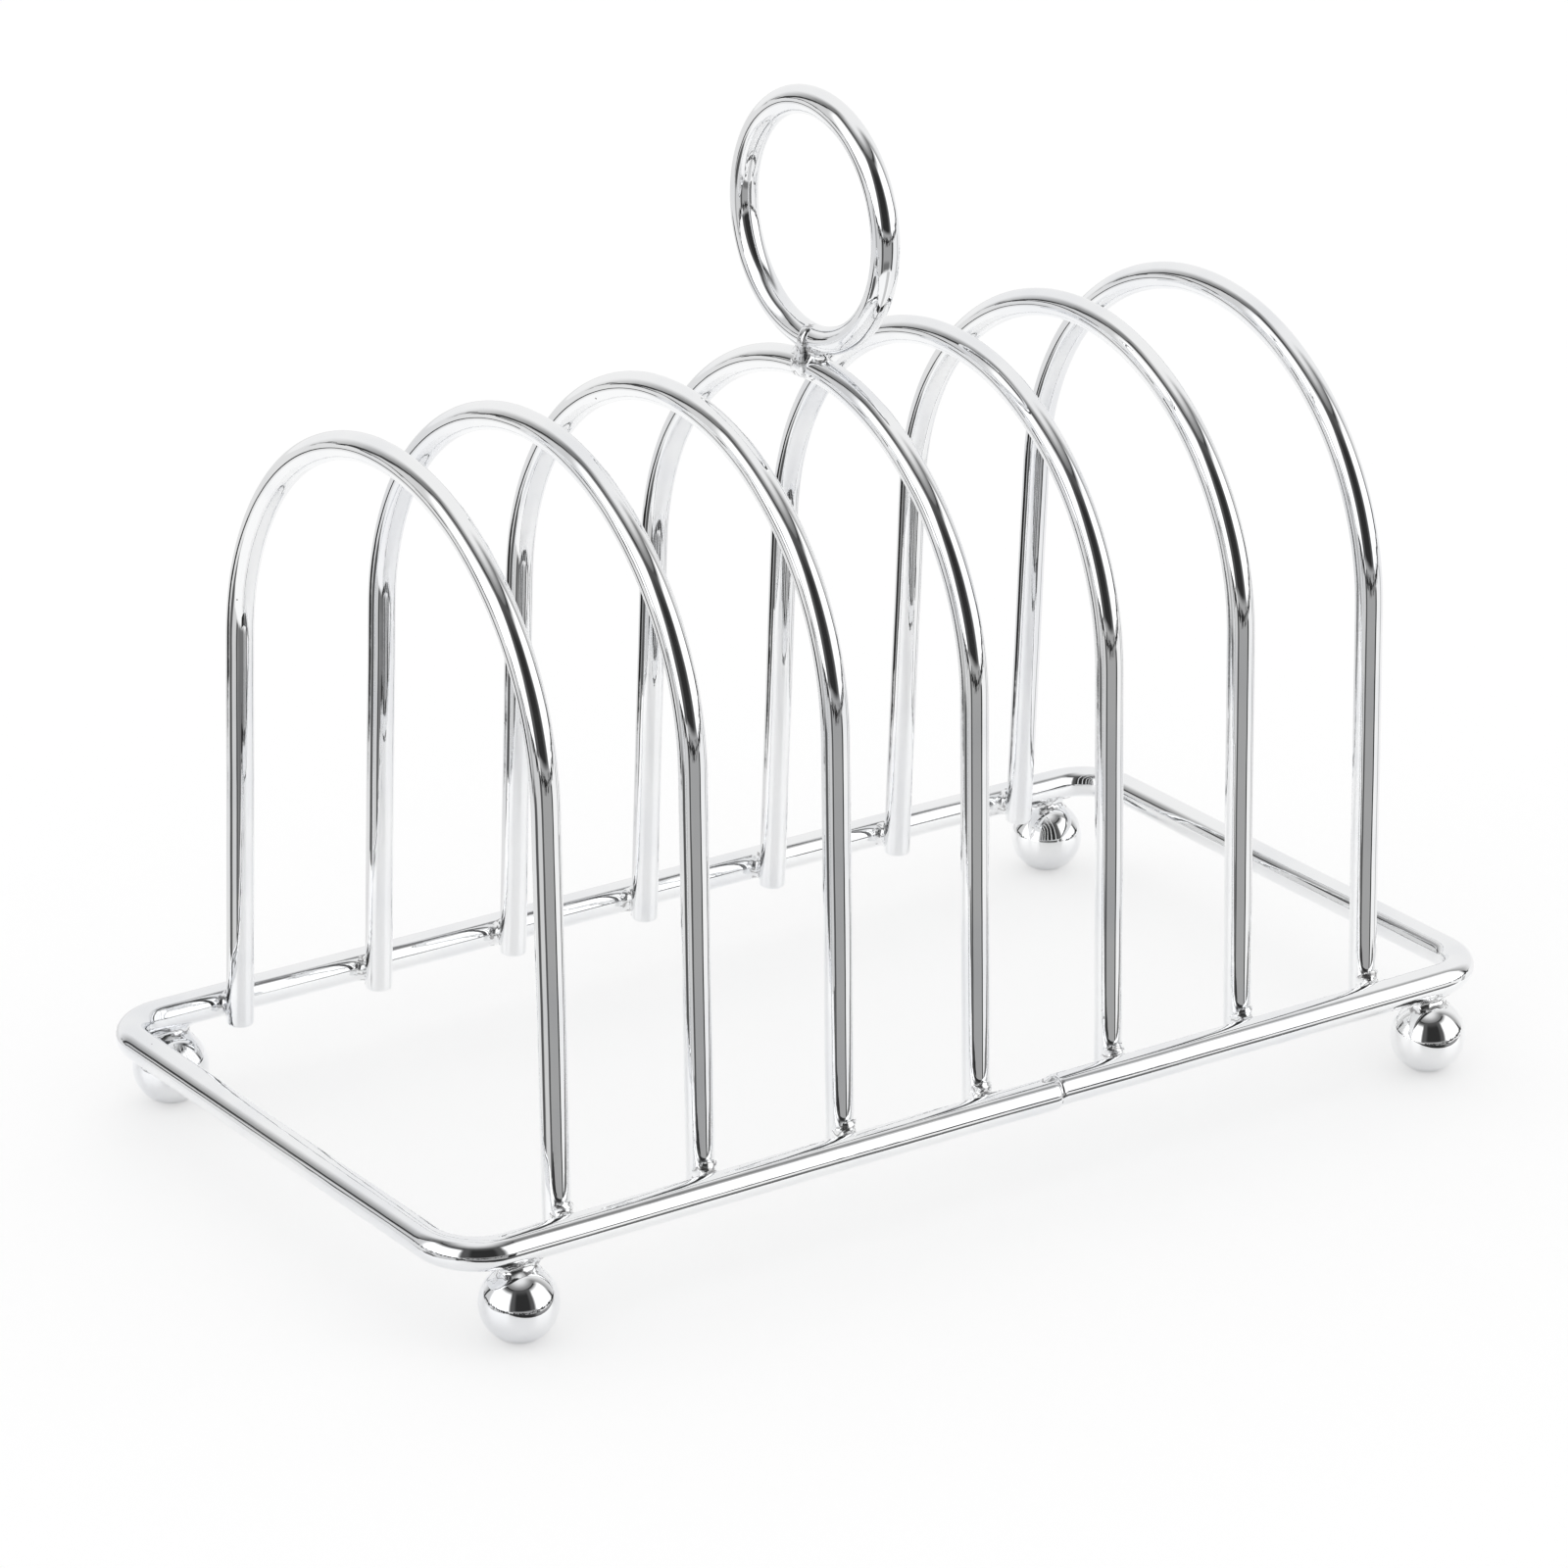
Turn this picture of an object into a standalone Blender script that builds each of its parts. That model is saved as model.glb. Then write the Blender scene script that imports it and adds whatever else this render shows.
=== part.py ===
"""A chromed wire toast rack that stands on four ball feet.

One thick wire is bent into a rounded rectangle and closed by a butt joint in its front long rail.
Seven thinner arches stand across it, their legs against the inner side of both long rails.
A ring handle sits on the crown of the middle arch, and a ball is fixed under each end of the long rails.

+X runs along the long rails, +Y across the rack towards the back rail, +Z up.
The origin is the middle of the rack on the surface that it stands on.
"""

import math

import bpy

MM = 0.001

# Meshes that touch keep this much air between them.
CLEARANCE = 0.3 * MM

# Base: sizes over the outside of the wire, and the bend radius at the wire's centre line.
BASE_LENGTH = 196.0 * MM
BASE_WIDTH = 105.0 * MM
BASE_WIRE = 5.1 * MM
BASE_BEND_RADIUS = 8.0 * MM
BASE_BUTT_X = 11.0 * MM

# Ball feet, each with a small flat that it stands on.
FOOT_DIAMETER = 12.0 * MM
FOOT_FLAT_RADIUS = 1.5 * MM
FOOT_FROM_END = 12.6 * MM

# Arches.
ARCH_COUNT = 7
ARCH_PITCH = 25.2 * MM
ARCH_WIRE = 4.3 * MM
ARCH_CROWN_RADIUS = 42.5 * MM
ARCH_CROWN_HEIGHT = 118.4 * MM
LEG_END_HEIGHT = 12.5 * MM

# Ring handle, which stands on the middle arch.
HANDLE_WIRE = 4.3 * MM
HANDLE_RADIUS = 18.3 * MM

# Facets: sides around a wire are 4 + 2 * WIRE_BEVEL_RESOLUTION.
WIRE_BEVEL_RESOLUTION = 4
BASE_BEND_STEPS = 6
ARCH_CROWN_STEPS = 24
HANDLE_STEPS = 36
FOOT_RINGS = 12
FOOT_STEPS = 24
MERGE_DISTANCE = 0.01 * MM

# Where those sizes put the pieces.
FOOT_RADIUS = FOOT_DIAMETER / 2
FOOT_CENTRE_HEIGHT = math.sqrt(FOOT_RADIUS**2 - FOOT_FLAT_RADIUS**2)
RAIL_HEIGHT = FOOT_CENTRE_HEIGHT + FOOT_RADIUS + CLEARANCE + BASE_WIRE / 2
RAIL_X = (BASE_LENGTH - BASE_WIRE) / 2
RAIL_Y = (BASE_WIDTH - BASE_WIRE) / 2
FOOT_X = BASE_LENGTH / 2 - FOOT_FROM_END
LEG_Y = RAIL_Y - BASE_WIRE / 2 - CLEARANCE - ARCH_WIRE / 2
CROWN_CENTRE_HEIGHT = ARCH_CROWN_HEIGHT - ARCH_CROWN_RADIUS
HANDLE_CENTRE_HEIGHT = ARCH_CROWN_HEIGHT + ARCH_WIRE / 2 + CLEARANCE + HANDLE_WIRE / 2 + HANDLE_RADIUS

CHROME_COLOUR = (0.89, 0.90, 0.91, 1.0)
CHROME_ROUGHNESS = 0.06


def clear_scene():
    for obj in list(bpy.data.objects):
        bpy.data.objects.remove(obj, do_unlink=True)


def chrome(name):
    material = bpy.data.materials.new(name)
    material.use_nodes = True
    shader = material.node_tree.nodes["Principled BSDF"]
    shader.inputs["Base Color"].default_value = CHROME_COLOUR
    shader.inputs["Metallic"].default_value = 1.0
    shader.inputs["Roughness"].default_value = CHROME_ROUGHNESS
    return material


def place(obj, location, rack):
    """Gives the piece its own chrome, its place and its parent, and adds it to the rack's collection."""
    obj.data.materials.append(chrome(obj.name + "_chrome"))
    obj.location = location
    obj.parent = rack["root"]
    rack["collection"].objects.link(obj)
    return obj


def bent_wire(name, points, diameter, location, rack):
    """A round wire with flat cut ends, along these points."""
    curve = bpy.data.curves.new(name, "CURVE")
    curve.dimensions = "3D"
    curve.fill_mode = "FULL"
    curve.bevel_depth = diameter / 2
    curve.bevel_resolution = WIRE_BEVEL_RESOLUTION
    curve.use_fill_caps = True
    spline = curve.splines.new("POLY")
    spline.points.add(len(points) - 1)
    for spline_point, point in zip(spline.points, points):
        spline_point.co = (*point, 1.0)
    return place(bpy.data.objects.new(name, curve), location, rack)


def arc(centre, radius, start, end, steps):
    """(across, up) points on an arc, with both of its ends."""
    angles = [start + (end - start) * step / steps for step in range(steps + 1)]
    return [(centre[0] + radius * math.cos(a), centre[1] + radius * math.sin(a)) for a in angles]


def base_wire(rack):
    """A rounded rectangle from one side of the butt joint, once round, to the other side."""
    outline = [(BASE_BUTT_X + CLEARANCE / 2, -RAIL_Y)]
    corners = ((1, -1), (1, 1), (-1, 1), (-1, -1))
    for index, (side_x, side_y) in enumerate(corners):
        centre = (side_x * (RAIL_X - BASE_BEND_RADIUS), side_y * (RAIL_Y - BASE_BEND_RADIUS))
        start = math.radians(90.0 * (index - 1))
        outline += arc(centre, BASE_BEND_RADIUS, start, start + math.pi / 2, BASE_BEND_STEPS)
    outline.append((BASE_BUTT_X - CLEARANCE / 2, -RAIL_Y))
    points = [(x, y, 0.0) for x, y in outline]
    bent_wire("base_wire", points, BASE_WIRE, (0.0, 0.0, RAIL_HEIGHT), rack)


def arch_outline():
    """A crown arc with straight legs that leave it on its tangents and spread to the rails.

    The crown's end angle is where a line from the foot of the leg touches the crown's circle.
    """
    # The leg's axis is LEG_Y from the middle at the rail's height, and so a little further at its end.
    drop = CROWN_CENTRE_HEIGHT - RAIL_HEIGHT
    tangent_length = math.sqrt(LEG_Y**2 + drop**2 - ARCH_CROWN_RADIUS**2)
    end_angle = math.atan2(tangent_length, ARCH_CROWN_RADIUS) - math.atan2(drop, LEG_Y)
    foot_y = LEG_Y + (RAIL_HEIGHT - LEG_END_HEIGHT) * math.tan(end_angle)
    crown = arc(
        (0.0, CROWN_CENTRE_HEIGHT), ARCH_CROWN_RADIUS, math.pi - end_angle, end_angle, ARCH_CROWN_STEPS
    )
    return [(-foot_y, LEG_END_HEIGHT), *crown, (foot_y, LEG_END_HEIGHT)]


def arches(rack):
    points = [(0.0, y, z) for y, z in arch_outline()]
    for index in range(ARCH_COUNT):
        x = (index - (ARCH_COUNT - 1) / 2) * ARCH_PITCH
        bent_wire(f"arch_{index + 1}", points, ARCH_WIRE, (x, 0.0, 0.0), rack)


def ring_handle(rack):
    """A ring in the plane of the middle arch, with its butt joint at its lowest point."""
    butt = -math.pi / 2
    half_gap = CLEARANCE / 2 / HANDLE_RADIUS
    outline = arc((0.0, 0.0), HANDLE_RADIUS, butt + half_gap, butt + 2 * math.pi - half_gap, HANDLE_STEPS)
    points = [(0.0, y, z) for y, z in outline]
    bent_wire("handle_ring", points, HANDLE_WIRE, (0.0, 0.0, HANDLE_CENTRE_HEIGHT), rack)


def ball_profile():
    """Half of a ball's outline in the XZ plane, from its top pole down its outer side to the flat."""
    flat_angle = -math.acos(FOOT_FLAT_RADIUS / FOOT_RADIUS)
    outline = arc((0.0, 0.0), FOOT_RADIUS, math.pi / 2, flat_angle, FOOT_RINGS)
    return [(0.0, FOOT_RADIUS), *outline[1:], (0.0, -FOOT_CENTRE_HEIGHT)]


def ball_mesh():
    points = [(x, 0.0, z) for x, z in ball_profile()]
    mesh = bpy.data.meshes.new("ball_profile")
    mesh.from_pydata(points, [(i, i + 1) for i in range(len(points) - 1)], [])
    return mesh


def ball_feet(rack):
    corners = (
        ("foot_front_left", -1, -1),
        ("foot_front_right", 1, -1),
        ("foot_back_left", -1, 1),
        ("foot_back_right", 1, 1),
    )
    for name, side_x, side_y in corners:
        foot = bpy.data.objects.new(name, ball_mesh())
        turn = foot.modifiers.new("turn", "SCREW")
        turn.axis = "Z"
        turn.steps = FOOT_STEPS
        turn.render_steps = FOOT_STEPS
        turn.use_smooth_shade = True
        turn.use_merge_vertices = True
        turn.merge_threshold = MERGE_DISTANCE
        place(foot, (side_x * FOOT_X, side_y * RAIL_Y, FOOT_CENTRE_HEIGHT), rack)


def main():
    clear_scene()
    collection = bpy.data.collections.new("toast_rack")
    bpy.context.scene.collection.children.link(collection)
    root = bpy.data.objects.new("toast_rack", None)
    collection.objects.link(root)
    rack = {"root": root, "collection": collection}
    base_wire(rack)
    arches(rack)
    ring_handle(rack)
    ball_feet(rack)


main()
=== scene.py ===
"""Looks for the chromed wire toast rack: bent wires, ball feet, weld metal, studio and camera.

Lengths are in metres. +X runs along the long rails, +Y across the rack towards its back, +Z up.
"""

import math

import bpy
import numpy as np
from mathutils import Matrix, Vector


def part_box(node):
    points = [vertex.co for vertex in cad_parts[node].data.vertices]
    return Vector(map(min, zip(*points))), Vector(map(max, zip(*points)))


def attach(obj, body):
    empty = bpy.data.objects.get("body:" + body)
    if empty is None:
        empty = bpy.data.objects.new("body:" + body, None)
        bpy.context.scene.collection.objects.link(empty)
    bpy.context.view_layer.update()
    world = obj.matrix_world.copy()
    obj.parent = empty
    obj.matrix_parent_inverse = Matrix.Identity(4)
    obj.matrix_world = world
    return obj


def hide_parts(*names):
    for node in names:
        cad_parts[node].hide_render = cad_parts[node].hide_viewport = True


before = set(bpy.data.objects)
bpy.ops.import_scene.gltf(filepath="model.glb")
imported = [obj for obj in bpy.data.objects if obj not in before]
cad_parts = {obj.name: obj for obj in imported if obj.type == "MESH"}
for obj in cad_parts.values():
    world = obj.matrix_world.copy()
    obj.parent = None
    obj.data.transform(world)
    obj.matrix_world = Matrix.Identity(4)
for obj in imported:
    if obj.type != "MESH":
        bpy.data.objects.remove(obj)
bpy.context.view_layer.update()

MM = 0.001
ROOT = "root"
ARCH_NUMBERS = range(1, 8)
HANDLE_ARCH = "arch_4"
CORNERS = ("front_left", "front_right", "back_left", "back_right")
FRONT, BACK = -1, 1

# Sizes that the CAD boxes don't give.
BASE_BEND_RADIUS = 8.0 * MM
BASE_BUTT_X = 11.0 * MM
ARCH_CROWN_RADIUS = 42.5 * MM
FOOT_RADIUS = 6.0 * MM
FOOT_FLAT_RADIUS = 1.5 * MM
# The ring's butt joint is a degree off its lowest point, under the weld.
HANDLE_BUTT_ANGLE = math.radians(-1.0) - math.pi / 2
# Cut ends of wire have edges of this radius, and two that meet in a butt joint are this far apart.
CUT_EDGE = 0.4 * MM
BUTT_GAP = 0.12 * MM

# Fineness of the wires and the balls.
WIRE_SIDES = 40
RING_SPACING = 1.0 * MM
BEND_STEPS = 24
CROWN_STEPS = 90
HANDLE_STEPS = 180
BALL_STEPS = 72
BALL_RINGS = 48
CUT_STEPS = 4
# Faces that meet at more than this angle keep a sharp edge between them.
SHARP_EDGE = math.radians(60)

# A bent wire strays sideways in waves of these lengths, at no more than this slope in each.
STRAY_LENGTHS = (61.0 * MM, 26.0 * MM, 9.0 * MM)
STRAY_SLOPE = 0.0022
# Its drawn and plated surface is uneven over these lengths, by up to this much.
SKIN_LENGTHS = (7.0 * MM, 4.3 * MM, 2.6 * MM)
SKIN_DEPTH = 0.006 * MM
# At the butt the base wire's start is this far off its line, and its end as far the other way.
# Both come true again along this length.
BUTT_MISS = Vector((0.0, 0.13, 0.17)) * MM
BUTT_MISS_LENGTH = 14.0 * MM
NO_MISS = Vector((0.0, 0.0, 0.0))

# Each wire and each weld is uneven in its own way, which its seed picks.
BASE_SEED = 1.0
ARCH_SEED = 2.0
HANDLE_SEED = 11.0
LEG_WELD_SEED = 20.0
FOOT_WELD_SEED = 50.0
HANDLE_WELD_SEED = 71.0
BUTT_WELD_SEED = 83.0

# Weld metal. It starts just under the wires' skin, so it shows where it fills a corner or lies over them.
WELD_CELL = 0.28 * MM
WELD_SINK = 0.05 * MM
WELD_ROUGHNESS = 0.055 * MM
WELD_LENGTHS = (3.4 * MM, 2.1 * MM, 1.4 * MM)
# The handle's weld and the base wire's butt weld have only this share of the others' roughness.
HANDLE_WELD_SHARE = 0.2
BUTT_WELD_SHARE = 0.5
# How far the corner between two shapes is filled.
LEG_FILLET = 2.1 * MM
FOOT_FILLET = 2.4 * MM
GROOVE_FILLET = 2.0 * MM
GROOVE_HALF_LENGTH = 4.0 * MM
# Each weld's mesh is looked for this far to both sides of its middle, in x, y and z.
LEG_WELD_HALF = (6.5 * MM, 5.5 * MM, 6.0 * MM)
FOOT_WELD_HALF = (7.0 * MM, 5.0 * MM, 3.5 * MM)
HANDLE_WELD_HALF = (3.6 * MM, 7.0 * MM, 5.5 * MM)
BUTT_WELD_HALF = (5.5 * MM, 4.0 * MM, 4.0 * MM)
# The middle of a leg's weld is this far above the rail's centre line.
LEG_WELD_RISE = 0.5 * MM
# How a mesh is moved on to a weld's surface: strides, their share of the way, and how the slope is measured.
SURFACE_STRIDES = 3
STRIDE_SHARE = 0.8
SLOPE_STEP = WELD_CELL / 20
LEAST_STEEPNESS = 0.2
# A leg's weld is laid as if the leg ended this far above its cut end, which leaves the end bare.
LEG_END_MARGIN = 0.1 * MM
# A place on a leg's axis counts as this far from it, so that nothing is divided by zero.
LEAST_DISTANCE = 0.1 * MM
# The roll of metal squeezed out round a leg, thicker towards the rail. Each rises and tilts in its own way.
ROLL_RADIUS = 0.05 * MM
ROLL_SWELLING = 0.26 * MM
ROLL_RISE = 0.15 * MM
ROLL_TILT = 0.25
ROLL_FILLET = 0.5 * MM
# The upright bead that holds the ring lies over both wires as if the groove between them were filled.
BEAD_FILLET = 4.5 * MM
BEAD_THICKNESS = 0.35 * MM
BEAD_HALF_WIDTH = 0.85 * MM
BEAD_WIDENING = 0.9
BEAD_HALF_HEIGHT = 4.3 * MM
BEAD_RISE = 0.4 * MM
BEAD_TOP_Y = -0.3 * MM
BEAD_DRIFT = 1.0 * MM
BEAD_BACK_X = -0.3 * MM
# How round the bead's long edges, its ends and its back are, and how it runs out on the filled groove.
BEAD_EDGE = 0.5 * MM
BEAD_END = 0.6 * MM
BEAD_BACK_EDGE = 0.3 * MM
BEAD_RUN_OUT = 0.5 * MM
SPATTER_FILLET = 0.15 * MM
# The base wire's butt: how deep its crease is, and the peak drawn up beside it.
CREASE_DEPTH = 0.22 * MM
PEAK_RADIUS = 0.5 * MM
PEAK_FILLET = 0.8 * MM

# The wires' material reads its place along and round the wire from this attribute.
WIRE_PLACE = "wire_place"
# The die lines' noise is this fine along the wire and across it.
DIE_LINE_FINENESS = (9.0, 1500.0, 1500.0)
CHROME_THICK = (0.925, 0.930, 0.935, 1.0)
CHROME_THIN = (0.855, 0.865, 0.885, 1.0)
DARK_SPOT = (0.16, 0.15, 0.15, 1.0)
WHITE = (1.0, 1.0, 1.0, 1.0)

# The photographer's place, round the rack from the front and above the table.
CAMERA_AZIMUTH = math.radians(-35.2)
CAMERA_ELEVATION = math.radians(21.8)
CAMERA_ROLL = math.radians(0.6)
CAMERA_DISTANCE = 1.002
CAMERA_LENS = 150.7
CAMERA_AIM = Vector((-8.9, -6.4, 54.8)) * MM

# The board that the rack stands on, and the depth of its dark front edge.
BOARD_LOW = (-0.125, -0.072)
BOARD_HIGH = (0.125, 0.090)
BOARD_FRONT = 0.018
BOARD_HEIGHT = 0.1 * MM
FLOOR_HALF_SIZE = 12.0

# The brightness of the plain white light that falls on everything and that all but the chrome sees.
DAYLIGHT = 1.05
# The studio that the chrome sees. Angles are in degrees, as in Studio, and levels are brightness.
# The softboxes end at this azimuth and this elevation. Above their foot they lean inwards by this slope.
SOFTBOX_SIDE = 119.0
SOFTBOX_TOP = 58.0
SOFTBOX_FOOT = -5.0
SOFTBOX_LEAN = 0.45
# Each patch: level, azimuths, elevations, softness of its sides, softness of its top and bottom.
SOFTBOX_PATCHES = (
    # The hot middles of both softboxes.
    (1.35, (-84.0, -30.0), (-40.0, 38.0), 10.0, 14.0),
    (1.35, (56.0, 100.0), (-40.0, 42.0), 10.0, 14.0),
    # The gap between them at the camera, and the photographer in it.
    (0.10, (-20.0, 44.0), (-60.0, 55.0), 8.0, 6.0),
    (0.03, (-4.0, 30.0), (0.0, 40.0), 10.0, 20.0),
)
TABLE_PATCHES = (
    # Left: the cloth's hem, its shaded part, a fold in it, and the softbox's dark foot.
    (0.02, (-125.0, -98.0), (-20.8, -18.5), 6.0, 1.0),
    (0.66, (-66.0, -32.0), (-29.0, -9.0), 4.0, 2.0),
    (0.42, (-79.0, -71.0), (-29.0, -9.0), 5.0, 2.0),
    (0.10, (-86.0, -70.0), (-28.0, -20.0), 9.0, 3.0),
    # The gap at the camera: the floor's dark left edge, the floor, its darker near part, and shaded cloth.
    (0.10, (-28.0, -16.0), (-29.0, -9.0), 4.0, 2.0),
    (0.38, (-12.0, 53.0), (-27.0, -3.0), 4.0, 4.0),
    (0.18, (-8.0, 30.0), (-28.0, -25.0), 9.0, 4.0),
    (0.62, (24.0, 44.0), (-60.0, -32.0), 8.0, 2.0),
    # Right: the floor's dark right edge, then white cloth with one fold.
    (0.02, (52.5, 60.0), (-29.0, -9.0), 3.0, 2.0),
    (0.95, (63.0, 180.0), (-60.0, -4.0), 2.0, 2.0),
    (0.50, (103.0, 110.0), (-29.0, -9.0), 2.0, 2.0),
)


# ---------------------------------------------------------------- node helpers


class Nodes:
    """Builds a node tree with short calls. A number goes on the socket itself, and a socket is linked."""

    def __init__(self, tree):
        self.tree = tree
        tree.nodes.clear()

    def add(self, kind, inputs=None, **settings):
        node = self.tree.nodes.new(kind)
        for name, value in settings.items():
            setattr(node, name, value)
        for key, value in (inputs or {}).items():
            socket = node.inputs[key]
            if isinstance(value, bpy.types.NodeSocket):
                self.tree.links.new(value, socket)
            else:
                socket.default_value = value
        return node

    def math(self, operation, *values):
        return self.add("ShaderNodeMath", dict(enumerate(values)), operation=operation).outputs[0]

    def step(self, value, low, high, to_low=0.0, to_high=1.0):
        """A smooth step from to_low to to_high as value goes from low to high."""
        inputs = {"Value": value, "From Min": low, "From Max": high, "To Min": to_low, "To Max": to_high}
        return self.add("ShaderNodeMapRange", inputs, interpolation_type="SMOOTHSTEP").outputs[0]

    def dot(self, vector, direction):
        node = self.add("ShaderNodeVectorMath", {0: vector, 1: direction}, operation="DOT_PRODUCT")
        return node.outputs["Value"]

    def noise(self, place, scale, detail, roughness=0.5):
        inputs = {"Vector": place, "Scale": scale, "Detail": detail, "Roughness": roughness}
        return self.add("ShaderNodeTexNoise", inputs).outputs["Fac"]

    def bump(self, height, strength, distance, under=None, invert=False):
        """A normal with this height in it, on top of the normal under it if there is one."""
        inputs = {"Height": height, "Strength": strength, "Distance": distance}
        if under is not None:
            inputs["Normal"] = under
        return self.add("ShaderNodeBump", inputs, invert=invert).outputs[0]

    def mix_colours(self, amount, first, second):
        return self.add("ShaderNodeMix", {0: amount, 6: first, 7: second}, data_type="RGBA").outputs[2]


# ---------------------------------------------------------------- studio


class Studio:
    """A grey level for each direction from the rack, painted layer on layer.

    Azimuth 0 is towards the camera's side, positive to its right. Both angles are in degrees.
    """

    def __init__(self, n):
        self.n = n
        self.way = n.add("ShaderNodeTexCoord").outputs["Generated"]
        towards = (math.sin(CAMERA_AZIMUTH), -math.cos(CAMERA_AZIMUTH), 0.0)
        right = (math.cos(CAMERA_AZIMUTH), math.sin(CAMERA_AZIMUTH), 0.0)
        turn = n.math("ARCTAN2", n.dot(self.way, right), n.dot(self.way, towards))
        height = n.add("ShaderNodeSeparateXYZ", {0: self.way}).outputs["Z"]
        self.azimuth = n.math("MULTIPLY", turn, math.degrees(1.0))
        self.aside = n.math("ABSOLUTE", self.azimuth)
        self.elevation = n.math("MULTIPLY", n.math("ARCSINE", height), math.degrees(1.0))
        self.level = 0.0

    def paint(self, level, mask):
        """Covers the layers so far with this level where mask is 1."""
        layers = {0: mask, 2: self.level, 3: level}
        self.level = self.n.add("ShaderNodeMix", layers, data_type="FLOAT").outputs[0]

    def band(self, angle, low, high, soft):
        """1 between low and high, falling smoothly to 0 over soft degrees outside them."""
        rise = self.n.step(angle, low - soft, low)
        fall = self.n.step(angle, high + soft, high)
        return self.n.math("MULTIPLY", rise, fall)

    def paint_patches(self, patches):
        for level, azimuths, elevations, soft_side, soft_height in patches:
            across = self.band(self.azimuth, *azimuths, soft_side)
            upright = self.band(self.elevation, *elevations, soft_height)
            self.paint(level, self.n.math("MULTIPLY", across, upright))


def paint_room(studio):
    """The ceiling, which brightens overhead, and the white backdrop behind the rack."""
    n = studio.n
    studio.level = n.step(studio.elevation, 58.0, 84.0, to_low=0.22, to_high=0.90)
    studio.paint(0.92, n.step(studio.aside, 100.0, 135.0))


def paint_softboxes(studio):
    """Softboxes with dark borders, which lean towards the camera as they rise, and the gap between them."""
    n = studio.n
    above_foot = n.math("MAXIMUM", n.math("SUBTRACT", studio.elevation, SOFTBOX_FOOT), 0.0)
    lean = n.math("MULTIPLY", above_foot, SOFTBOX_LEAN)
    from_side = n.math("SUBTRACT", n.math("SUBTRACT", SOFTBOX_SIDE, lean), studio.aside)
    from_top = n.math("SUBTRACT", SOFTBOX_TOP, studio.elevation)
    from_edge = n.math("MINIMUM", from_side, from_top)
    upper_part = n.step(studio.elevation, 20.0, 40.0)
    lower_part = n.step(studio.elevation, 46.0, 36.0)
    # A black border, a dim upper part and a lit lower part.
    studio.paint(0.04, n.step(from_edge, -0.5, 1.0))
    studio.paint(0.13, n.math("MULTIPLY", n.step(from_edge, 3.0, 5.0), upper_part))
    studio.paint(0.68, n.math("MULTIPLY", n.step(from_side, 4.5, 7.0), lower_part))
    studio.paint_patches(SOFTBOX_PATCHES)


def paint_table(studio):
    """White cloth round the board, what lies or stands on it, and the floor in the gap at the camera."""
    n = studio.n
    cloth = n.step(studio.elevation, -32.0, -22.5, to_low=1.02, to_high=0.80)
    studio.paint(cloth, n.step(studio.elevation, -2.0, -4.0))
    studio.paint_patches(TABLE_PATCHES)


def paint_horizon(studio):
    """The ragged dark line where the softboxes stand on the table, which is lowest at the camera."""
    n = studio.n
    line_height = n.step(studio.aside, 0.0, 130.0, to_low=-8.0, to_high=-1.0)
    from_line = n.math("ABSOLUTE", n.math("SUBTRACT", studio.elevation, line_height))
    clutter = n.noise(studio.way, scale=15.0, detail=2.0)
    half_thickness = n.step(clutter, 0.38, 0.66, to_low=-0.2, to_high=3.6)
    line = n.step(n.math("SUBTRACT", from_line, half_thickness), 0.8, 0.0)
    studio.paint(0.03, n.math("MULTIPLY", line, n.step(studio.aside, 126.0, 118.0)))


def studio_world():
    """Even white light for everything, and a photographer's studio for the chrome to reflect."""
    world = bpy.data.worlds.new("studio")
    bpy.context.scene.world = world
    world.use_nodes = True
    n = Nodes(world.node_tree)
    studio = Studio(n)
    paint_room(studio)
    paint_softboxes(studio)
    paint_table(studio)
    paint_horizon(studio)
    grey = {"Red": studio.level, "Green": studio.level, "Blue": studio.level}
    colour = n.add("ShaderNodeCombineColor", grey).outputs[0]
    in_chrome = n.add("ShaderNodeBackground", {"Color": colour, "Strength": 1.0})
    elsewhere = n.add("ShaderNodeBackground", {"Color": WHITE, "Strength": DAYLIGHT})
    is_glossy = n.add("ShaderNodeLightPath").outputs["Is Glossy Ray"]
    mixed = n.add("ShaderNodeMixShader", {0: is_glossy, 1: elsewhere.outputs[0], 2: in_chrome.outputs[0]})
    n.add("ShaderNodeOutputWorld", {"Surface": mixed.outputs[0]})


def stage_paint(name, grey, glow, gloss):
    """Grey paint with a glow of its own. gloss is its specular level, 0 for matt."""
    material = bpy.data.materials.new(name)
    material.use_nodes = True
    shader = material.node_tree.nodes["Principled BSDF"]
    shader.inputs["Base Color"].default_value = (grey, grey, grey, 1.0)
    shader.inputs["Roughness"].default_value = 0.35
    shader.inputs["Specular IOR Level"].default_value = gloss
    shader.inputs["Emission Color"].default_value = WHITE
    shader.inputs["Emission Strength"].default_value = glow
    return material


def stage_flat(name, low, high, height, paint, hidden_from):
    """A flat rectangle that isn't part of the object. The kinds of ray in hidden_from pass through it."""
    (x0, y0), (x1, y1) = low, high
    verts = [(x0, y0, height), (x1, y0, height), (x1, y1, height), (x0, y1, height)]
    mesh = mesh_of(name, verts, [(0, 1, 2, 3)])
    mesh.materials.append(paint)
    obj = bpy.data.objects.new(name, mesh)
    bpy.context.scene.collection.objects.link(obj)
    for ray in hidden_from:
        setattr(obj, "visible_" + ray, False)


def floor():
    """A wide pale floor. The chrome sees the painted table and the board in its place."""
    half = FLOOR_HALF_SIZE
    paint = stage_paint("floor_white", 0.55, glow=0.43, gloss=0.0)
    stage_flat("floor", (-half, -half), (half, half), 0.0, paint, hidden_from=("glossy",))


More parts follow.
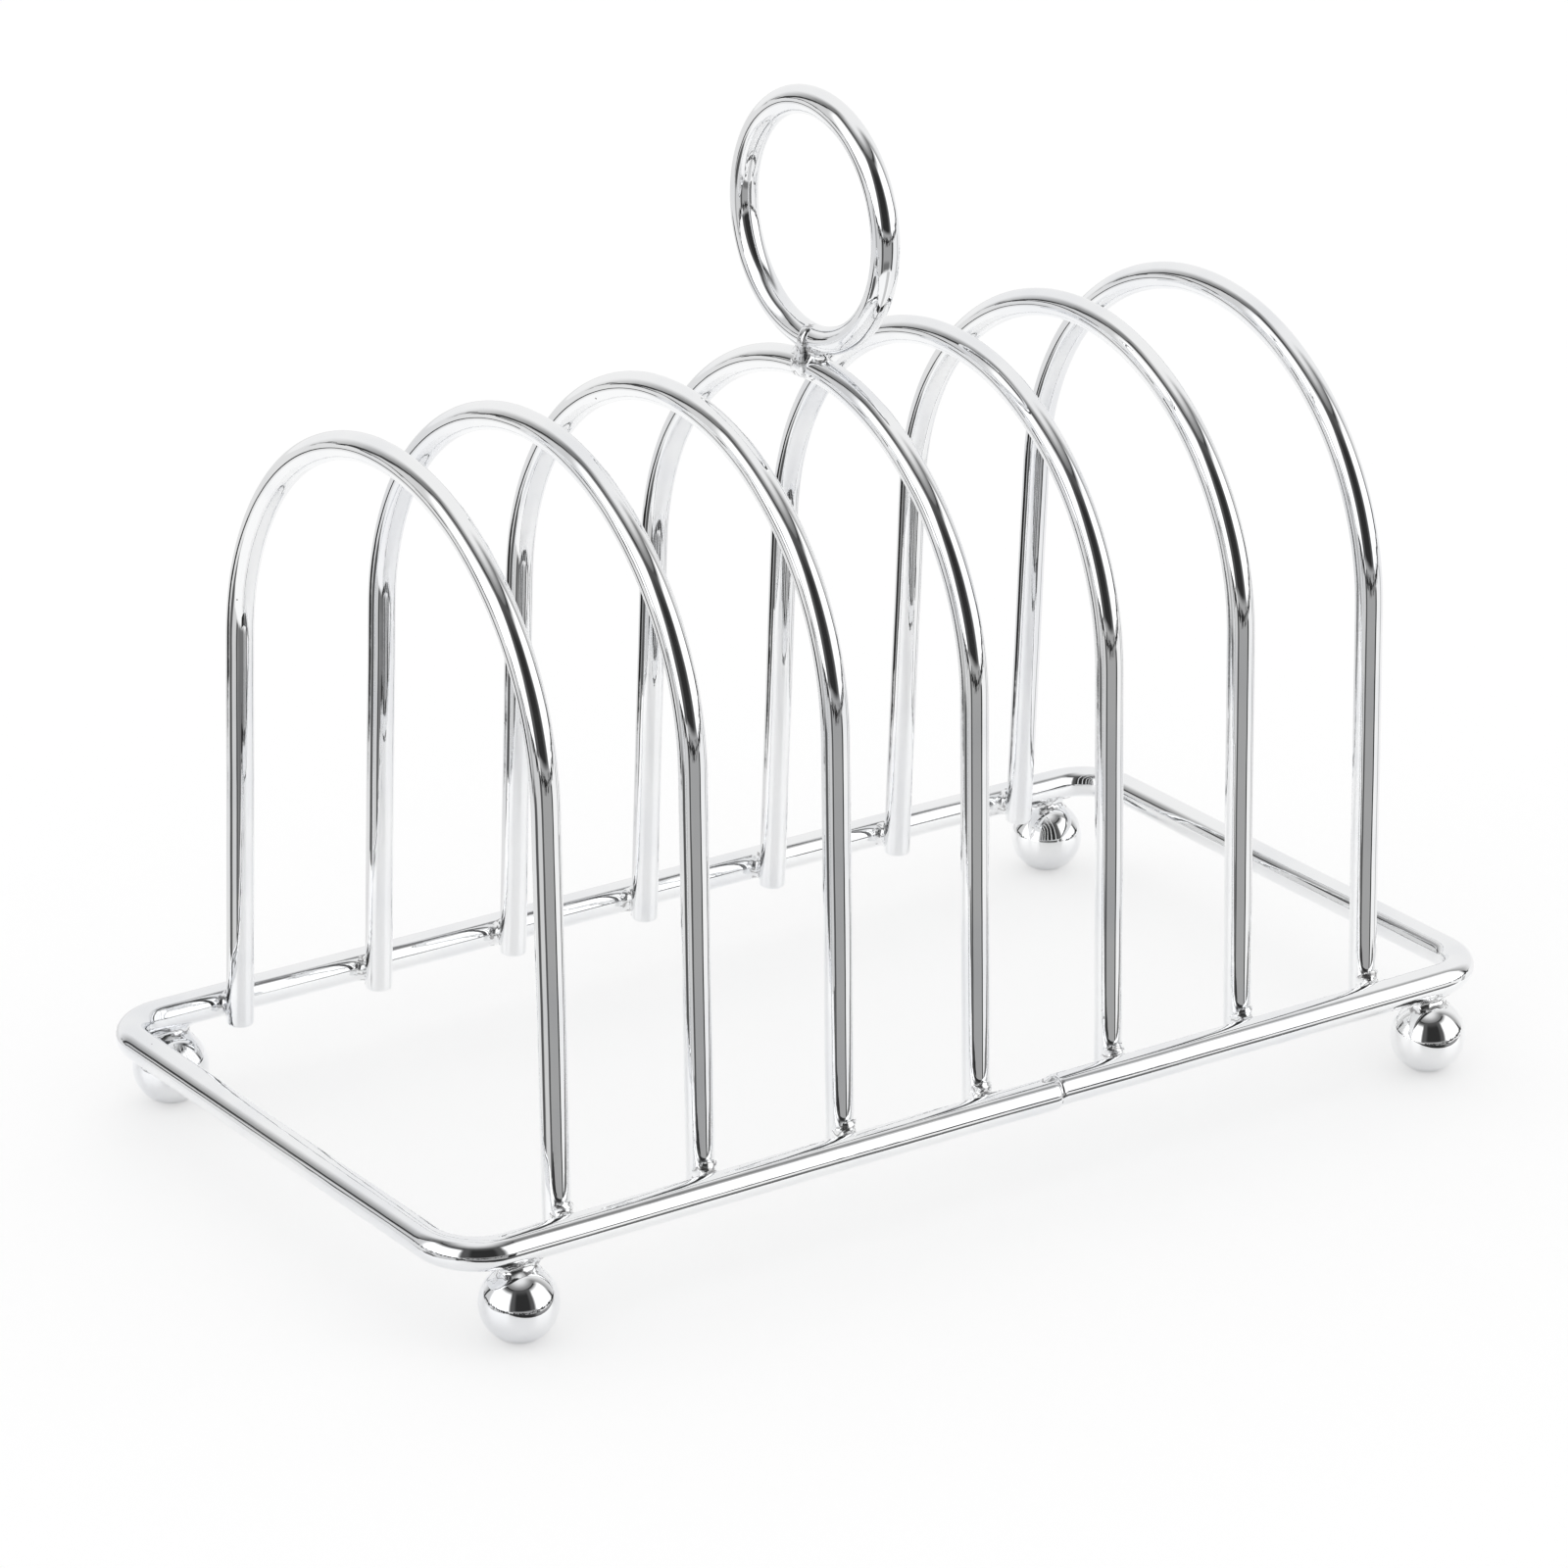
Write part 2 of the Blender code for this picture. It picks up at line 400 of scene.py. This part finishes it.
def board():
    """The glossy white board under the rack, with its dark front edge. Only the chrome sees them."""
    (x0, y0), (x1, _) = BOARD_LOW, BOARD_HIGH
    white = stage_paint("board_white", 0.90, glow=0.10, gloss=1.5)
    dark = stage_paint("board_dark", 0.02, glow=0.0, gloss=0.5)
    others = ("camera", "diffuse", "shadow")
    stage_flat("board_top", BOARD_LOW, BOARD_HIGH, BOARD_HEIGHT, white, hidden_from=others)
    stage_flat("board_edge", (x0, y0 - BOARD_FRONT), (x1, y0), BOARD_HEIGHT, dark, hidden_from=others)


def camera():
    data = bpy.data.cameras.new("camera")
    data.lens = CAMERA_LENS
    data.sensor_width = 36.0
    data.clip_start = 0.05
    obj = bpy.data.objects.new("camera", data)
    bpy.context.scene.collection.objects.link(obj)
    level = math.cos(CAMERA_ELEVATION)
    back_x = math.sin(CAMERA_AZIMUTH) * level
    back_y = -math.cos(CAMERA_AZIMUTH) * level
    back = Vector((back_x, back_y, math.sin(CAMERA_ELEVATION)))
    turn = (-back).to_track_quat("-Z", "Y").to_matrix().to_4x4()
    roll = Matrix.Rotation(CAMERA_ROLL, 4, "Z")
    obj.matrix_world = Matrix.Translation(CAMERA_AIM + back * CAMERA_DISTANCE) @ turn @ roll
    bpy.context.scene.camera = obj


# ---------------------------------------------------------------- chrome


def new_material(name):
    """A material, the builder of its node tree, and the place on the object that its textures read."""
    material = bpy.data.materials.new(name)
    material.use_nodes = True
    n = Nodes(material.node_tree)
    return material, n, n.add("ShaderNodeTexCoord").outputs["Object"]


def chrome_tint(n, place):
    """Bright chrome that is a little cooler and darker where the plating is thin."""
    thinness = n.step(n.noise(place, scale=45.0, detail=3.0, roughness=0.55), 0.40, 0.70)
    return n.mix_colours(thinness, CHROME_THICK, CHROME_THIN)


def chrome_film(n, place):
    """The roughness of cloudy bright plating with a few duller handled patches, and its rippled normal."""
    clouds = n.noise(place, scale=90.0, detail=4.0, roughness=0.6)
    handling = n.noise(place, scale=28.0, detail=5.0, roughness=0.7)
    ripples = n.noise(place, scale=420.0, detail=2.0)
    film = n.step(clouds, 0.35, 0.75, to_low=0.012, to_high=0.05)
    smudges = n.step(handling, 0.58, 0.72, to_high=0.07)
    return n.math("ADD", film, smudges), n.bump(ripples, strength=0.12, distance=0.05 * MM)


def chrome_pits(n, place):
    """1 in sparse pinholes of the plating, 0 elsewhere."""
    cells = n.add("ShaderNodeTexVoronoi", {"Vector": place, "Scale": 260.0, "Randomness": 1.0})
    chance = n.add("ShaderNodeSeparateColor", {0: cells.outputs["Color"]}).outputs[0]
    size = n.step(chance, 0.72, 1.0, to_high=0.055)
    return n.step(n.math("SUBTRACT", cells.outputs["Distance"], size), 0.0, -0.02)


def metal(n, colour, roughness, normal):
    inputs = {"Base Color": colour, "Metallic": 1.0, "Roughness": roughness, "Normal": normal}
    shader = n.add("ShaderNodeBsdfPrincipled", inputs)
    n.add("ShaderNodeOutputMaterial", {"Surface": shader.outputs[0]})


def pitted_chrome(n, place, roughness, normal, pit_strength):
    """Chrome of this roughness with dark, dull pinholes in it."""
    pits = chrome_pits(n, place)
    colour = n.mix_colours(pits, chrome_tint(n, place), DARK_SPOT)
    sunk = n.bump(pits, pit_strength, distance=0.08 * MM, under=normal, invert=True)
    metal(n, colour, n.math("ADD", roughness, n.math("MULTIPLY", pits, 0.4)), sunk)


def wire_chrome(name):
    """Plated drawn wire: faint die lines run along it under the plating."""
    material, n, place = new_material(name)
    roughness, normal = chrome_film(n, place)
    wire_place = n.add("ShaderNodeAttribute", attribute_name=WIRE_PLACE).outputs["Vector"]
    stretch = {0: wire_place, 1: DIE_LINE_FINENESS}
    stretched = n.add("ShaderNodeVectorMath", stretch, operation="MULTIPLY").outputs[0]
    die_lines = n.noise(stretched, scale=1.0, detail=3.0)
    roughness = n.math("ADD", roughness, n.step(die_lines, 0.55, 0.75, to_high=0.05))
    drawn = n.bump(die_lines, strength=0.30, distance=0.04 * MM, under=normal)
    pitted_chrome(n, place, roughness, drawn, pit_strength=0.6)
    return material


def ball_chrome(name):
    """Plated steel balls, polished brighter than the wire."""
    material, n, place = new_material(name)
    roughness, normal = chrome_film(n, place)
    pitted_chrome(n, place, roughness, normal, pit_strength=0.5)
    return material


def weld_chrome(name):
    """Plated weld metal: frozen ripples, duller in the hollows, with dark scale left in the deepest."""
    material, n, place = new_material(name)
    waves = {"Vector": place, "Scale": 150.0, "Distortion": 9.0, "Detail": 2.0, "Detail Scale": 2.5}
    ripples = n.add("ShaderNodeTexWave", waves, bands_direction="Z").outputs["Fac"]
    grain = n.noise(place, scale=1100.0, detail=4.0, roughness=0.6)
    height = n.math("MULTIPLY", ripples, grain)
    dullness = n.step(height, 0.45, 0.05, to_low=0.04, to_high=0.20)
    scale = n.step(height, 0.06, 0.0, to_high=0.6)
    colour = n.mix_colours(scale, chrome_tint(n, place), DARK_SPOT)
    metal(n, colour, dullness, n.bump(height, strength=0.20, distance=0.1 * MM))
    return material


# ---------------------------------------------------------------- the real wires' unevenness


def unevenness(points, lengths, seed):
    """A smooth value between -1 and 1 that wanders over the points, the same on each run.

    The odd factors only keep its waves out of step with each other.
    """
    total = 0.0
    for k, length in enumerate(lengths):
        turn = 1.7 * seed + 2.3 * k
        way = np.array((math.sin(turn), math.cos(1.3 * turn), math.sin(2.1 * turn + 1.0)))
        way /= np.linalg.norm(way)
        first = np.sin(points @ way * (2.0 * math.pi / length) + turn)
        second = np.cos(points @ np.roll(way, 1) * (1.7 * math.pi / length) - turn)
        total = total + first * second
    return total / len(lengths)


def stray(along, seed):
    """How far a bent wire strays sideways at each distance along it."""
    total = np.zeros_like(along)
    for k, length in enumerate(STRAY_LENGTHS):
        depth = STRAY_SLOPE * length / (2.0 * math.pi)
        total += depth * np.sin(along * 2.0 * math.pi / length + 2.9 * seed + 1.7 * k)
    return total


# ---------------------------------------------------------------- pieces and their places


def mesh_of(name, verts, faces):
    mesh = bpy.data.meshes.new(name)
    mesh.from_pydata([tuple(v) for v in verts], [], faces)
    mesh.update()
    return mesh


def add_piece(name, mesh, material, node=None):
    """A piece that rides the rack. It stands for a CAD node, if one is named."""
    obj = bpy.data.objects.new(name, mesh)
    bpy.context.scene.collection.objects.link(obj)
    mesh.materials.append(material)
    mesh.shade_smooth()
    mesh.set_sharp_from_angle(angle=SHARP_EDGE)
    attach(obj, ROOT)
    if node:
        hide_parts(node)


def rail_sizes():
    """The base wire's centre line reaches this far in x and y, at this height, with this wire radius."""
    low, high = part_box("base_wire")
    radius = (high.z - low.z) / 2
    return high.x - radius, high.y - radius, (high.z + low.z) / 2, radius


def arch_sizes(node):
    """An arch's x, its legs' y, its lower end, its crown's centre height and its wire radius."""
    low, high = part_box(node)
    radius = (high.x - low.x) / 2
    return (low.x + high.x) / 2, high.y - radius, low.z, high.z - radius - ARCH_CROWN_RADIUS, radius


def ring_sizes():
    """The handle ring's centre height, its centre line's radius and its wire radius."""
    low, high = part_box("handle_ring")
    radius = (high.x - low.x) / 2
    return (high.z + low.z) / 2, (high.z - low.z) / 2 - radius, radius


def foot_centre(corner):
    low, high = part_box("foot_" + corner)
    return Vector(((low.x + high.x) / 2, (low.y + high.y) / 2, high.z - FOOT_RADIUS))


# ---------------------------------------------------------------- wires


def arc(centre, radius, start, end, steps):
    """Points on an arc, with both of its ends."""
    angles = [start + (end - start) * i / steps for i in range(steps + 1)]
    return [(centre[0] + radius * math.cos(a), centre[1] + radius * math.sin(a)) for a in angles]


def even_points(points, spacing):
    """Points at even distances along a fine polyline, with both ends, and those distances."""
    points = np.array(points)
    lengths = np.concatenate([[0.0], np.cumsum(np.linalg.norm(np.diff(points, axis=0), axis=1))])
    wanted = np.linspace(0.0, lengths[-1], max(2, round(lengths[-1] / spacing)) + 1)
    return at_places(wanted, lengths, points), wanted


def at_places(places, along, vectors):
    """Vectors that are known at the distances along, found at other distances."""
    return np.stack([np.interp(places, along, vectors[:, k]) for k in range(3)], axis=-1)


def centre_line(outline, normal, seed, miss):
    """A bent wire's centre line, the direction across it in its plane, and the distances along it."""
    points, along = even_points(outline, RING_SPACING)
    fade = np.exp(-along / BUTT_MISS_LENGTH) - np.exp(-(along[-1] - along) / BUTT_MISS_LENGTH)
    points = points + fade[:, None] * np.array(miss)
    across = np.cross(np.gradient(points, axis=0), normal)
    across /= np.linalg.norm(across, axis=1)[:, None]
    points = points + across * stray(along, seed)[:, None] + normal * stray(along, seed + 0.5)[:, None]
    return points, across, along


def ring_places(along):
    """Where the wire's rings lie along it, and how far each is drawn in to round the cut ends' edges."""
    turns = np.linspace(0.0, math.pi / 2, CUT_STEPS + 1)
    rise = CUT_EDGE * (1.0 - np.cos(turns))
    draw_in = CUT_EDGE * (1.0 - np.sin(turns))
    middle = along[(along > 2 * CUT_EDGE) & (along < along[-1] - 2 * CUT_EDGE)]
    places = np.concatenate([rise, middle, along[-1] - rise[::-1]])
    return places, np.concatenate([draw_in, np.zeros(len(middle)), draw_in[::-1]])


def tube_faces(rings):
    """Quads between neighbouring rings, and one face over each end."""
    faces = []
    for i in range(rings - 1):
        a, b = i * WIRE_SIDES, (i + 1) * WIRE_SIDES
        for j in range(WIRE_SIDES):
            k = (j + 1) % WIRE_SIDES
            faces.append((a + j, a + k, b + k, b + j))
    faces.append(tuple(range(WIRE_SIDES))[::-1])
    faces.append(tuple((rings - 1) * WIRE_SIDES + j for j in range(WIRE_SIDES)))
    return faces


def mark_wire_place(mesh, places, angles, radius):
    """Stores each point's distance along the wire and its place in the wire's section."""
    place = np.empty((len(places), WIRE_SIDES, 3))
    place[:, :, 0] = places[:, None]
    place[:, :, 1] = radius * np.cos(angles)
    place[:, :, 2] = radius * np.sin(angles)
    attribute = mesh.attributes.new(WIRE_PLACE, "FLOAT_VECTOR", "POINT")
    attribute.data.foreach_set("vector", place.ravel())


def wire_mesh(name, outline, radius, normal, seed, miss=NO_MISS):
    """A round wire along a flat outline. miss moves its start one way and its end as far the other way."""
    normal = np.array(normal, dtype=float)
    points, across, along = centre_line(outline, normal, seed, miss)
    places, draw_in = ring_places(along)
    centres = at_places(places, along, points)
    sideways = at_places(places, along, across)
    angles = np.linspace(0.0, 2 * math.pi, WIRE_SIDES, endpoint=False)
    outward = np.cos(angles)[None, :, None] * sideways[:, None, :] + np.sin(angles)[None, :, None] * normal
    smooth = centres[:, None, :] + outward * radius
    reach = radius - draw_in[:, None] + SKIN_DEPTH * unevenness(smooth, SKIN_LENGTHS, seed)
    verts = (centres[:, None, :] + outward * reach[:, :, None]).reshape(-1, 3)
    mesh = mesh_of(name, verts, tube_faces(len(places)))
    mark_wire_place(mesh, places, angles, radius)
    return mesh


def base_wire(material):
    """A rounded rectangle, from one side of its butt joint once round to the other side."""
    x, y, z, radius = rail_sizes()
    outline = [(BASE_BUTT_X + BUTT_GAP / 2, -y)]
    for index, (side_x, side_y) in enumerate(((1, -1), (1, 1), (-1, 1), (-1, -1))):
        centre = (side_x * (x - BASE_BEND_RADIUS), side_y * (y - BASE_BEND_RADIUS))
        start = math.radians(90.0 * (index - 1))
        outline += arc(centre, BASE_BEND_RADIUS, start, start + math.pi / 2, BEND_STEPS)
    outline.append((BASE_BUTT_X - BUTT_GAP / 2, -y))
    points = [(px, py, z) for px, py in outline]
    mesh = wire_mesh("base", points, radius, (0, 0, 1), BASE_SEED, miss=BUTT_MISS)
    add_piece("base_wire_chromed", mesh, material, "base_wire")


def arch(number, material):
    """A crown, with straight legs that leave it on its tangents and reach the CAD legs' ends."""
    node = f"arch_{number}"
    x, leg_y, bottom, crown_z, radius = arch_sizes(node)
    drop = crown_z - bottom
    tangent_length = math.sqrt(leg_y**2 + drop**2 - ARCH_CROWN_RADIUS**2)
    end = math.atan2(tangent_length, ARCH_CROWN_RADIUS) - math.atan2(drop, leg_y)
    crown = arc((0.0, crown_z), ARCH_CROWN_RADIUS, math.pi - end, end, CROWN_STEPS)
    outline = [(-leg_y, bottom), *crown, (leg_y, bottom)]
    points = [(x, py, pz) for py, pz in outline]
    mesh = wire_mesh(node, points, radius, (1, 0, 0), ARCH_SEED + number)
    add_piece(node + "_chromed", mesh, material, node)


def handle(material):
    """The ring on the middle arch, from one side of its butt joint once round to the other side."""
    z, ring, radius = ring_sizes()
    half_gap = BUTT_GAP / (2 * ring)
    start = HANDLE_BUTT_ANGLE + half_gap
    end = HANDLE_BUTT_ANGLE + 2 * math.pi - half_gap
    points = [(0.0, py, pz) for py, pz in arc((0.0, z), ring, start, end, HANDLE_STEPS)]
    mesh = wire_mesh("handle", points, radius, (1, 0, 0), HANDLE_SEED)
    add_piece("handle_ring_chromed", mesh, material, "handle_ring")


def foot(corner, material):
    """A ball with the small flat that it stands on."""
    flat = -math.acos(FOOT_FLAT_RADIUS / FOOT_RADIUS)
    verts = [(0.0, 0.0, FOOT_RADIUS)]
    for i in range(1, BALL_RINGS + 1):
        climb = math.pi / 2 + (flat - math.pi / 2) * i / BALL_RINGS
        level = FOOT_RADIUS * math.cos(climb)
        height = FOOT_RADIUS * math.sin(climb)
        for j in range(BALL_STEPS):
            turn = 2 * math.pi * j / BALL_STEPS
            verts.append((level * math.cos(turn), level * math.sin(turn), height))
    faces = [(0, 1 + j, 1 + (j + 1) % BALL_STEPS) for j in range(BALL_STEPS)]
    for i in range(BALL_RINGS - 1):
        a, b = 1 + i * BALL_STEPS, 1 + (i + 1) * BALL_STEPS
        for j in range(BALL_STEPS):
            k = (j + 1) % BALL_STEPS
            faces.append((a + j, b + j, b + k, a + k))
    faces.append(tuple(1 + (BALL_RINGS - 1) * BALL_STEPS + j for j in range(BALL_STEPS))[::-1])
    mesh = mesh_of(corner, np.array(verts) + np.array(foot_centre(corner)), faces)
    add_piece(f"foot_{corner}_chromed", mesh, material, "foot_" + corner)


# ---------------------------------------------------------------- fields

# A field gives each point's distance from a shape, negative inside it.


def rail_field(points):
    """The base wire: a rounded rectangle of round wire."""
    x, y, z, radius = rail_sizes()
    corner = np.abs(points[..., :2]) - (np.array((x, y)) - BASE_BEND_RADIUS)
    outside = np.linalg.norm(np.maximum(corner, 0.0), axis=-1)
    from_line = outside + np.minimum(corner.max(axis=-1), 0.0) - BASE_BEND_RADIUS
    return np.hypot(from_line, points[..., 2] - z) - radius


def hoop_field(points, centre_z, hoop, radius):
    """A hoop of round wire that stands in the plane x = 0."""
    from_line = np.hypot(points[..., 1], points[..., 2] - centre_z) - hoop
    return np.hypot(from_line, points[..., 0]) - radius


def ball_field(points, centre, radius):
    return np.linalg.norm(points - np.array(centre), axis=-1) - radius


def rod_field(points, start, end, radius):
    start, end = np.array(start), np.array(end)
    along = end - start
    share = np.clip((points - start) @ along / (along @ along), 0.0, 1.0)
    return np.linalg.norm(points - start - share[..., None] * along, axis=-1) - radius


def join(first, second, reach):
    """The shape inside either field, with the corner between them filled."""
    closeness = np.maximum(reach - np.abs(first - second), 0.0) / reach
    return np.minimum(first, second) - closeness**2 * reach / 4


def overlap(first, second, reach):
    """The shape inside both fields, with its edge rounded."""
    return -join(-first, -second, reach)


def near_both(first, second, reach):
    """Below zero only where both fields are about equally near, so weld metal stays at the joint."""
    return 0.8 * (np.abs(first - second) - reach)


# ---------------------------------------------------------------- a mesh round a field (naive surface nets)


def crossings(values, cell_counts):
    """For each grid cell, the sum and the number of the places where its edges cross zero."""
    total = np.zeros((*cell_counts, 3))
    hits = np.zeros(cell_counts)
    for axis in range(3):
        others = [k for k in range(3) if k != axis]
        for shift in ((0, 0), (0, 1), (1, 0), (1, 1)):
            corner = [0, 0, 0]
            corner[others[0]], corner[others[1]] = shift
            near = tuple(slice(c, c + n) for c, n in zip(corner, cell_counts))
            corner[axis] = 1
            far = tuple(slice(c, c + n) for c, n in zip(corner, cell_counts))
            a, b = values[near], values[far]
            crossed = (a < 0) != (b < 0)
            place = np.zeros((*cell_counts, 3))
            place[..., others[0]], place[..., others[1]] = shift
            place[..., axis] = np.where(crossed, a / np.where(crossed, a - b, 1.0), 0.0)
            total += place * crossed[..., None]
            hits += crossed
    return total, hits


def cell_faces(values, number):
    """A quad between the four cells round each grid edge that crosses zero, facing outwards."""
    faces = []
    inside = values < 0
    for axis in range(3):
        order = (axis, (axis + 1) % 3, (axis + 2) % 3)
        turned = np.moveaxis(inside, order, (0, 1, 2))
        cells = np.moveaxis(number, order, (0, 1, 2))
        near, far = turned[:-1, 1:-1, 1:-1], turned[1:, 1:-1, 1:-1]
        around = (cells[:, :-1, :-1], cells[:, 1:, :-1], cells[:, 1:, 1:], cells[:, :-1, 1:])
        quads = np.stack(around, axis=-1)
        faces.append(quads[near & ~far])
        faces.append(quads[far & ~near][:, ::-1])
    return np.concatenate(faces)


def on_surface(points, field):
    """Points moved along field's slope to where it is zero."""
    for _ in range(SURFACE_STRIDES):
        value = field(points)
        slope = np.empty_like(points)
        for k in range(3):
            ahead = points.copy()
            ahead[:, k] += SLOPE_STEP
            slope[:, k] = (field(ahead) - value) / SLOPE_STEP
        steepness = np.maximum((slope**2).sum(axis=1), LEAST_STEEPNESS)
        stride = STRIDE_SHARE * np.clip(value / steepness, -WELD_CELL, WELD_CELL)
        points = points - stride[:, None] * slope
    return points


def skin(name, field, middle, half):
    """A closed mesh round the places within half of middle where field is below zero."""
    low = np.array(middle) - np.array(half)
    counts = np.ceil(2 * np.array(half) / WELD_CELL).astype(int) + 1
    axes = [low[k] + WELD_CELL * np.arange(counts[k]) for k in range(3)]
    values = field(np.stack(np.meshgrid(*axes, indexing="ij"), axis=-1))
    for k in range(3):
        np.moveaxis(values, k, 0)[[0, -1]] = WELD_CELL
    total, hits = crossings(values, tuple(counts - 1))
    used = hits > 0
    number = np.full(used.shape, -1)
    number[used] = np.arange(used.sum())
    places = np.argwhere(used) + total[used] / hits[used][:, None]
    faces = cell_faces(values, number)
    return mesh_of(name, on_surface(low + WELD_CELL * places, field), faces.tolist())


# ---------------------------------------------------------------- weld metal


def weld_unevenness(points, seed):
    return WELD_ROUGHNESS * unevenness(points, WELD_LENGTHS, seed)


def leg_weld(number, side, material):
    """A fillet between an arch's leg and the rail, with the uneven roll squeezed out round the leg."""
    x, leg_y, bottom, _, radius = arch_sizes(f"arch_{number}")
    _, rail_y, rail_z, rail_radius = rail_sizes()
    seed = LEG_WELD_SEED + 2 * number + side
    roll_z = rail_z + rail_radius + ROLL_RISE * (math.sin(seed) - 1.0)
    roll_tilt = ROLL_TILT * math.sin(2.3 * seed)

    def field(points):
        across = points[..., 0] - x
        outward = (points[..., 1] - side * leg_y) * side
        from_axis = np.hypot(across, outward)
        leg = np.maximum(from_axis - radius, bottom + LEG_END_MARGIN - points[..., 2])
        rail = rail_field(points)
        towards_rail = outward / np.maximum(from_axis, LEAST_DISTANCE)
        above_roll = points[..., 2] - roll_z - roll_tilt * across
        roll = np.hypot(from_axis - radius, above_roll) - (ROLL_RADIUS + ROLL_SWELLING * towards_rail)
        weld = join(join(rail, leg, LEG_FILLET), roll, ROLL_FILLET)
        weld = weld + WELD_SINK + weld_unevenness(points, seed)
        return np.maximum(weld, near_both(rail, leg, LEG_FILLET))

    middle = (x, side * (leg_y + rail_y) / 2, rail_z + LEG_WELD_RISE)
    mesh = skin("leg_weld", field, middle, LEG_WELD_HALF)
    place = "back" if side == BACK else "front"
    add_piece(f"weld_arch_{number}_{place}", mesh, material)


def foot_weld(corner, material):
    """The neck between the rail and the top of a ball foot."""
    centre = foot_centre(corner)
    seed = FOOT_WELD_SEED + 3.0 * CORNERS.index(corner)

    def field(points):
        ball = ball_field(points, centre, FOOT_RADIUS)
        rail = rail_field(points)
        neck = join(ball, rail, FOOT_FILLET) + WELD_SINK + weld_unevenness(points, seed)
        return np.maximum(neck, near_both(ball, rail, FOOT_FILLET))

    ball_top = centre + Vector((0, 0, FOOT_RADIUS))
    mesh = skin("foot_weld", field, ball_top, FOOT_WELD_HALF)
    add_piece("weld_foot_" + corner, mesh, material)


def handle_groove(points, hoop, crown):
    """The filled groove between the ring's lowest part and the middle arch's crown."""
    groove = np.maximum(join(hoop, crown, GROOVE_FILLET), near_both(hoop, crown, GROOVE_FILLET)) + WELD_SINK
    return np.maximum(groove, 0.9 * (np.abs(points[..., 1]) - GROOVE_HALF_LENGTH))


def handle_bead(points, hoop, crown, ring_low, arch_top):
    """A flat strip laid over both wires on their left side. It widens and drifts back as it goes down."""
    lowness = np.clip((ring_low - points[..., 2]) / (ring_low - arch_top), 0.0, 1.0)
    half_width = BEAD_HALF_WIDTH * (1.0 + BEAD_WIDENING * lowness**2)
    from_middle = np.abs(points[..., 1] - BEAD_TOP_Y - BEAD_DRIFT * lowness**2)
    from_half_height = np.abs(points[..., 2] - (ring_low + arch_top) / 2 - BEAD_RISE)
    bead = join(hoop, crown, BEAD_FILLET) - BEAD_THICKNESS
    bead = overlap(bead, from_middle - half_width, BEAD_EDGE)
    bead = overlap(bead, from_half_height - BEAD_HALF_HEIGHT, BEAD_END)
    return overlap(bead, points[..., 0] - BEAD_BACK_X, BEAD_BACK_EDGE)


def handle_weld(material):
    """The bead and the groove that hold the ring on the middle arch, with a little spatter beside them."""
    ring_z, ring, radius = ring_sizes()
    _, _, _, crown_z, _ = arch_sizes(HANDLE_ARCH)
    ring_low = ring_z - ring
    arch_top = crown_z + ARCH_CROWN_RADIUS
    # Drops of spatter, each with its middle and its radius.
    spatter = (
        ((-radius, -2.4 * MM, arch_top - 0.6 * MM), 0.24 * MM),
        ((-radius, -3.1 * MM, arch_top - 0.9 * MM), 0.20 * MM),
        ((-radius + 0.2 * MM, 2.4 * MM, arch_top + 0.7 * MM), 0.36 * MM),
    )

    def field(points):
        hoop = hoop_field(points, ring_z, ring, radius)
        crown = hoop_field(points, crown_z, ARCH_CROWN_RADIUS, radius)
        bead = handle_bead(points, hoop, crown, ring_low, arch_top)
        weld = join(bead, handle_groove(points, hoop, crown), BEAD_RUN_OUT)
        weld = weld + HANDLE_WELD_SHARE * weld_unevenness(points, HANDLE_WELD_SEED)
        for middle, drop_radius in spatter:
            weld = join(weld, ball_field(points, middle, drop_radius), SPATTER_FILLET)
        return weld

    mesh = skin("handle_weld", field, (0.0, 0.0, (ring_low + arch_top) / 2), HANDLE_WELD_HALF)
    add_piece("weld_handle", mesh, material)


def butt_weld(material):
    """What shows of the base wire's butt weld: a crease, and a small peak drawn up on its left."""
    _, rail_y, rail_z, radius = rail_sizes()
    start = np.array((BASE_BUTT_X - 2.0 * MM, -rail_y, rail_z))
    end = np.array((BASE_BUTT_X + 1.5 * MM, -rail_y, rail_z))
    peak_foot = (BASE_BUTT_X - 2.2 * MM, -rail_y, rail_z + radius - 0.75 * MM)
    peak = (BASE_BUTT_X - 0.45 * MM, -rail_y + 0.2 * MM, rail_z + radius - 0.25 * MM)

    def field(points):
        crease = rod_field(points, start, end, radius - CREASE_DEPTH)
        drawn_up = rod_field(points, peak_foot, peak, PEAK_RADIUS)
        weld = join(crease, drawn_up, PEAK_FILLET)
        return weld + BUTT_WELD_SHARE * weld_unevenness(points, BUTT_WELD_SEED)

    mesh = skin("butt_weld", field, (start + end) / 2, BUTT_WELD_HALF)
    add_piece("weld_base_butt", mesh, material)


# ---------------------------------------------------------------- the scene


def surroundings():
    studio_world()
    floor()
    board()
    camera()
    bpy.context.scene.view_settings.view_transform = "Standard"


def wires_and_feet():
    base_wire(wire_chrome("base_plating"))
    arch_plating = wire_chrome("arch_plating")
    for number in ARCH_NUMBERS:
        arch(number, arch_plating)
    handle(wire_chrome("handle_plating"))
    foot_plating = ball_chrome("foot_plating")
    for corner in CORNERS:
        foot(corner, foot_plating)


def welds():
    plating = weld_chrome("weld_plating")
    for number in ARCH_NUMBERS:
        leg_weld(number, FRONT, plating)
        leg_weld(number, BACK, plating)
    for corner in CORNERS:
        foot_weld(corner, plating)
    handle_weld(plating)
    butt_weld(plating)


surroundings()
wires_and_feet()
welds()
